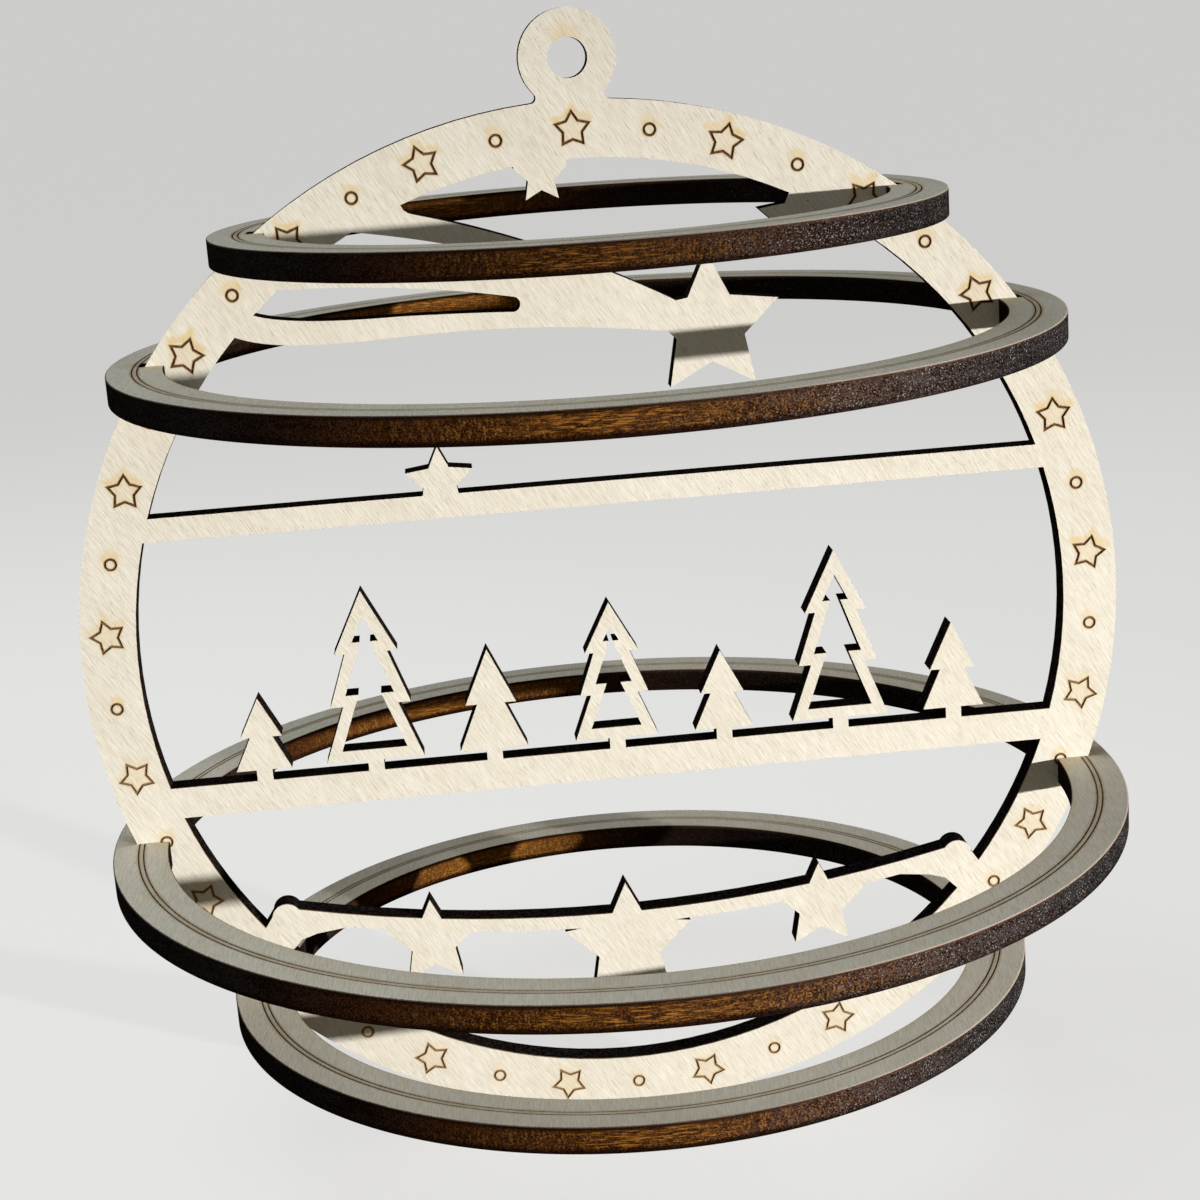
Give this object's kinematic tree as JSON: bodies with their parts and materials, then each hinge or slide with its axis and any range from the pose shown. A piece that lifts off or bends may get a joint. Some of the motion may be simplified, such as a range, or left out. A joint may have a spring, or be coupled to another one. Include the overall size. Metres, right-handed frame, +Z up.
{
  "type": "christmas bauble",
  "caption": "Flat-pack wooden Christmas bauble: a round fretwork panel with a comet, stars and firs, carried through horizontal plywood rings, with an eye for hanging it on a tree",
  "frame": {"origin": "centre of the ribbon's hole in the hanging eye, half way through the panel's thickness", "axes": "+Z points up with the bauble hanging, +X points right seen from the front, and the panel's scored front faces -Y; the hole runs along Y"},
  "size_m": [0.12, 0.1178, 0.1298],
  "materials": {
    "panel_ply": "bare pale plywood veneer, charred on its laser-cut edges",
    "ring_ply": "bare pale plywood veneer, charred on its laser-cut edges"
  },
  "bodies": {
    "root": {"panel": "panel_ply", "ring_1": "ring_ply", "ring_2": "ring_ply", "ring_3": "ring_ply", "ring_4": "ring_ply"}
  },
  "joints": []
}
